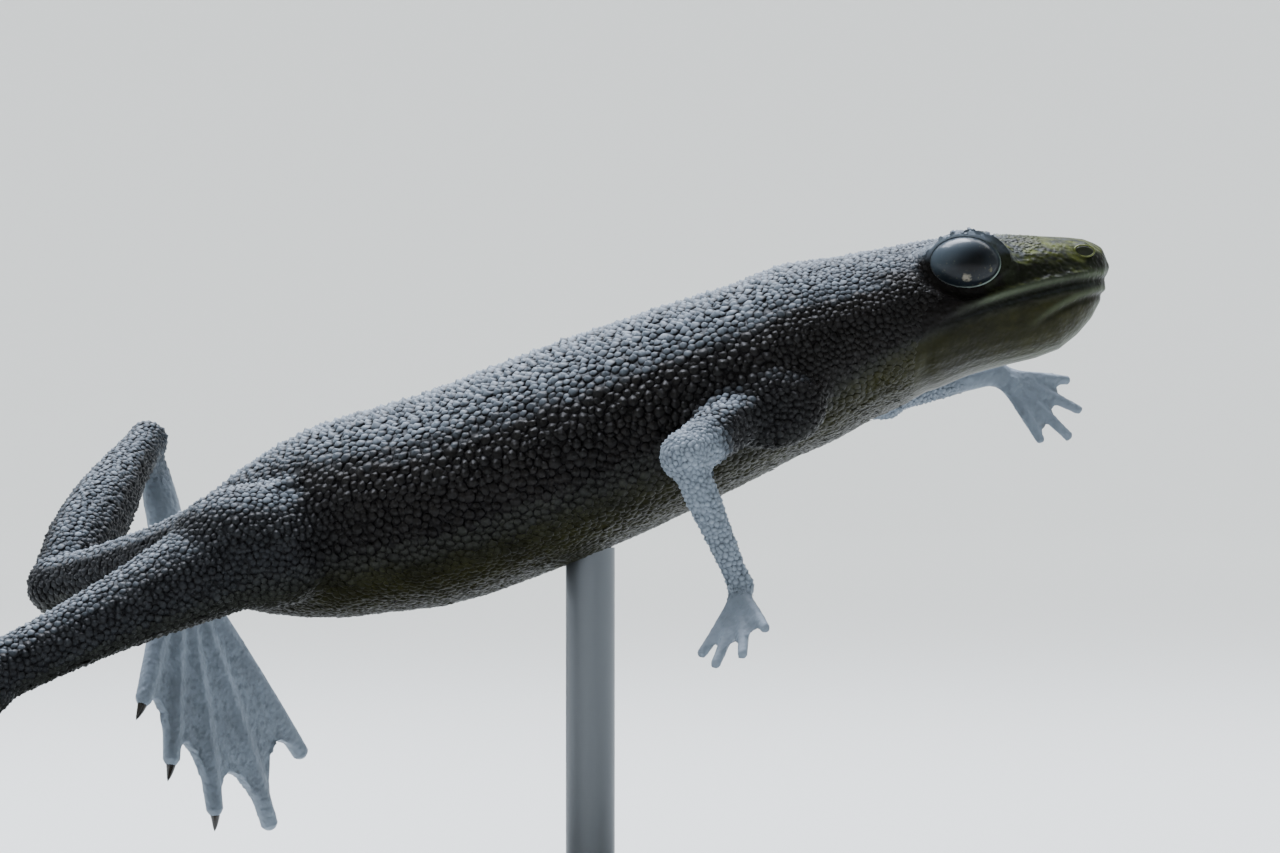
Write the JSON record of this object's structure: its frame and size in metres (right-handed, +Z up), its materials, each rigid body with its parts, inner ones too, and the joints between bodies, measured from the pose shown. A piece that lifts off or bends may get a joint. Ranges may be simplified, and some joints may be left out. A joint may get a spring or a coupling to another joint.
{
  "type": "african dwarf frog model",
  "caption": "Life-size African dwarf frog, still in a swimming pose with its snout raised and its webbed feet trailing, held over a flat base by a short rod.",
  "frame": {"origin": "middle of the underside of the stand's base", "axes": "+X forward, towards the frog's snout; +Y towards the frog's left side; +Z up"},
  "size_m": [0.0583, 0.0516, 0.0278],
  "materials": {
    "skin_back": "moist, granular",
    "skin_limb": "moist, granular",
    "skin_throat": "moist, smooth",
    "eye": "glossy",
    "stand_slab": "satin",
    "stand_steel": "brushed"
  },
  "bodies": {
    "root": {"head": "skin_back", "lower_jaw": "skin_throat", "torso": "skin_back", "rump": "skin_back", "eye_right": "eye", "eye_left": "eye", "upper_arm_right": "skin_limb", "forearm_right": "skin_limb", "hand_right": "skin_limb", "upper_arm_left": "skin_limb", "forearm_left": "skin_limb", "hand_left": "skin_limb", "thigh_right": "skin_limb", "shank_right": "skin_limb", "foot_right": "skin_limb", "thigh_left": "skin_limb", "shank_left": "skin_limb", "foot_left": "skin_limb", "stand_base": "stand_slab", "stand_rod": "stand_steel"}
  },
  "joints": []
}
